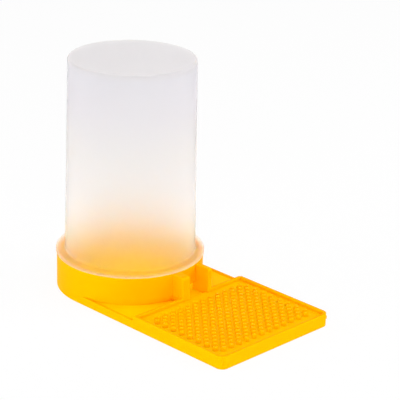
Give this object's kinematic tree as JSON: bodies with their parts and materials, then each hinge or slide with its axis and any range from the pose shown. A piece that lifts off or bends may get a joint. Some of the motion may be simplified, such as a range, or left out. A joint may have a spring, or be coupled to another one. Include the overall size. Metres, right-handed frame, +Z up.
{
  "type": "bee water feeder",
  "caption": "Inverted frosted cup in the round collar of a yellow moulded base, which feeds water through an outlet onto a studded drinking pad for bees.",
  "frame": {"origin": "on the ground, at the middle of the feeder's own box, with the cup seated", "axes": "+Z up along the cup's axis, -Y from the collar towards the drinking pad's front end, +X across"},
  "size_m": [0.093, 0.1736, 0.1479],
  "materials": {
    "yellow_plastic": "satin, slightly translucent",
    "frosted_plastic": "frosted, translucent"
  },
  "bodies": {
    "base": {"feeder_base": "yellow_plastic"},
    "cup": {"reservoir_cup": "frosted_plastic"}
  },
  "joints": [
    {"name": "cup_lift", "type": "slide", "parent": "base", "child": "cup", "axis": [0, 0, 1], "range_m": [0, 0.03]}
  ]
}
